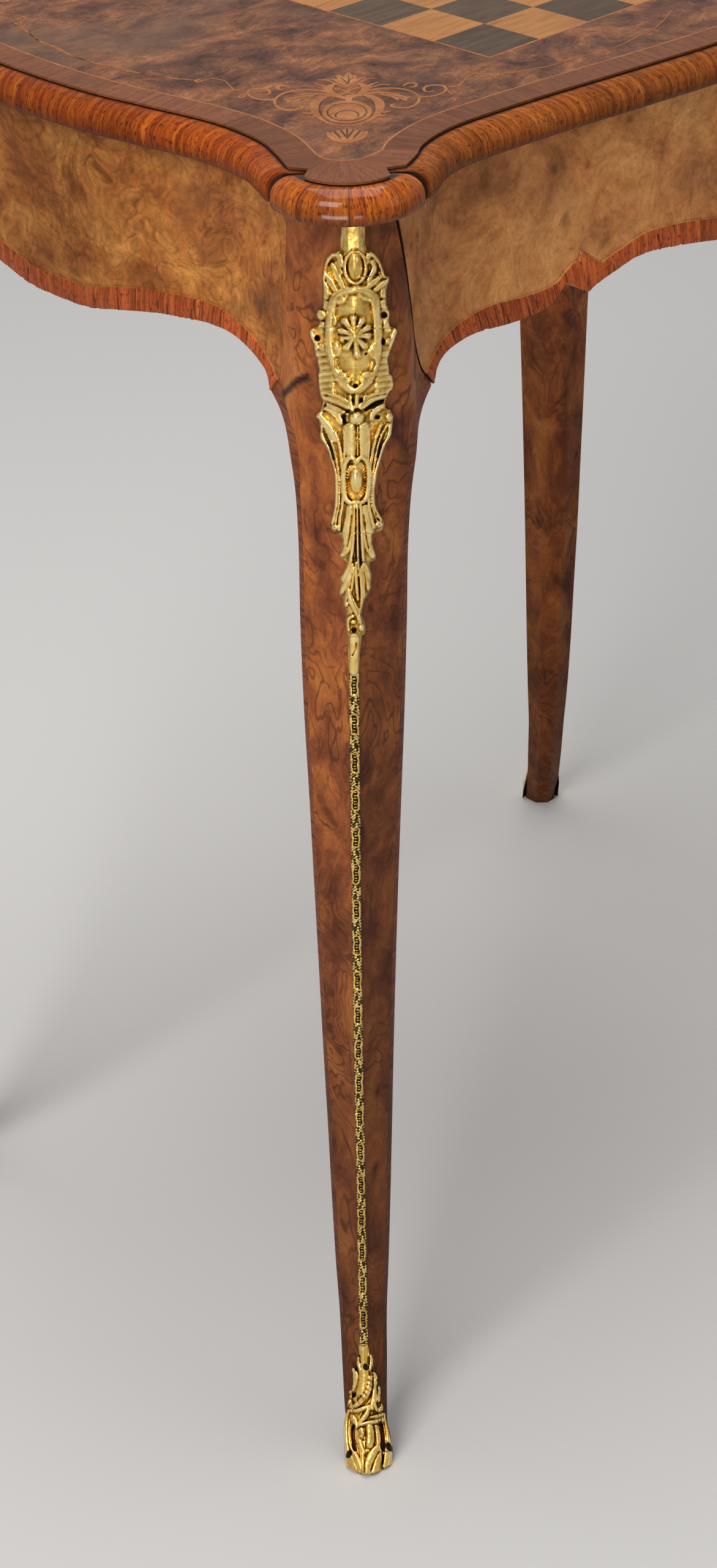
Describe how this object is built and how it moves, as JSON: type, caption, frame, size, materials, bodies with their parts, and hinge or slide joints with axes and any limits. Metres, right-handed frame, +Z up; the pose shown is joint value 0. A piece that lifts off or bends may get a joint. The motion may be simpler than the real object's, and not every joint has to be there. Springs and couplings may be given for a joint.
{
  "type": "games table",
  "caption": "Small veneered games table with a wavy top and inlaid chessboard, a frieze drawer in the front, and slender curved legs with gilt corner mounts.",
  "frame": {"origin": "on the floor, below the middle of the top", "axes": "+Z up, +X along the long side of the top, -Y towards the drawer's front"},
  "size_m": [0.6096, 0.4296, 0.733],
  "materials": {
    "ground_wood": "plain, unpolished",
    "tulipwood": "cross-grained veneer, french polished",
    "burr_walnut": "burr veneer with inlaid lines and foliage, french polished",
    "board_squares": "alternating light and dark veneer squares, french polished",
    "moulding_wood": "cross-grained moulding, french polished",
    "leg_walnut": "veneered with a cross-grained edge, french polished",
    "apron_walnut": "burr veneer with a cross-banded lower edge, french polished",
    "oak": "planed, unpolished",
    "gilt_brass": "cast, chased and gilt",
    "screw_steel": "dull"
  },
  "bodies": {
    "carcass": {"top_ground": "ground_wood", "top_crossbanding": "tulipwood", "top_burr_field": "burr_walnut", "chessboard": "board_squares", "moulding_right": "moulding_wood", "moulding_left": "moulding_wood", "moulding_back": "moulding_wood", "moulding_front": "moulding_wood", "moulding_corner_back_right": "moulding_wood", "moulding_corner_back_left": "moulding_wood", "moulding_corner_front_left": "moulding_wood", "moulding_corner_front_right": "moulding_wood", "leg_back_right": "leg_walnut", "leg_back_left": "leg_walnut", "leg_front_left": "leg_walnut", "leg_front_right": "leg_walnut", "apron_right": "apron_walnut", "apron_left": "apron_walnut", "apron_back": "apron_walnut", "rail_top_front": "oak", "rail_drawer_bearer": "oak", "drawer_runner_right": "oak", "drawer_guide_right": "oak", "drawer_kicker_right": "oak", "drawer_runner_left": "oak", "drawer_guide_left": "oak", "drawer_kicker_left": "oak", "top_screw_1": "screw_steel", "top_screw_2": "screw_steel", "top_screw_3": "screw_steel", "top_screw_4": "screw_steel", "corner_mount_back_right": "gilt_brass", "corner_mount_back_left": "gilt_brass", "corner_mount_front_left": "gilt_brass", "corner_mount_front_right": "gilt_brass", "arris_strip_back_right": "gilt_brass", "arris_strip_back_left": "gilt_brass", "arris_strip_front_left": "gilt_brass", "arris_strip_front_right": "gilt_brass", "sabot_back_right": "gilt_brass", "sabot_back_left": "gilt_brass", "sabot_front_left": "gilt_brass", "sabot_front_right": "gilt_brass"},
    "drawer": {"drawer_front": "apron_walnut", "drawer_side_right": "oak", "drawer_side_left": "oak", "drawer_back": "oak", "drawer_bottom": "oak"}
  },
  "joints": [
    {"name": "drawer_slide", "type": "slide", "parent": "carcass", "child": "drawer", "axis": [0, -1, 0], "range_m": [0, 0.2]}
  ]
}
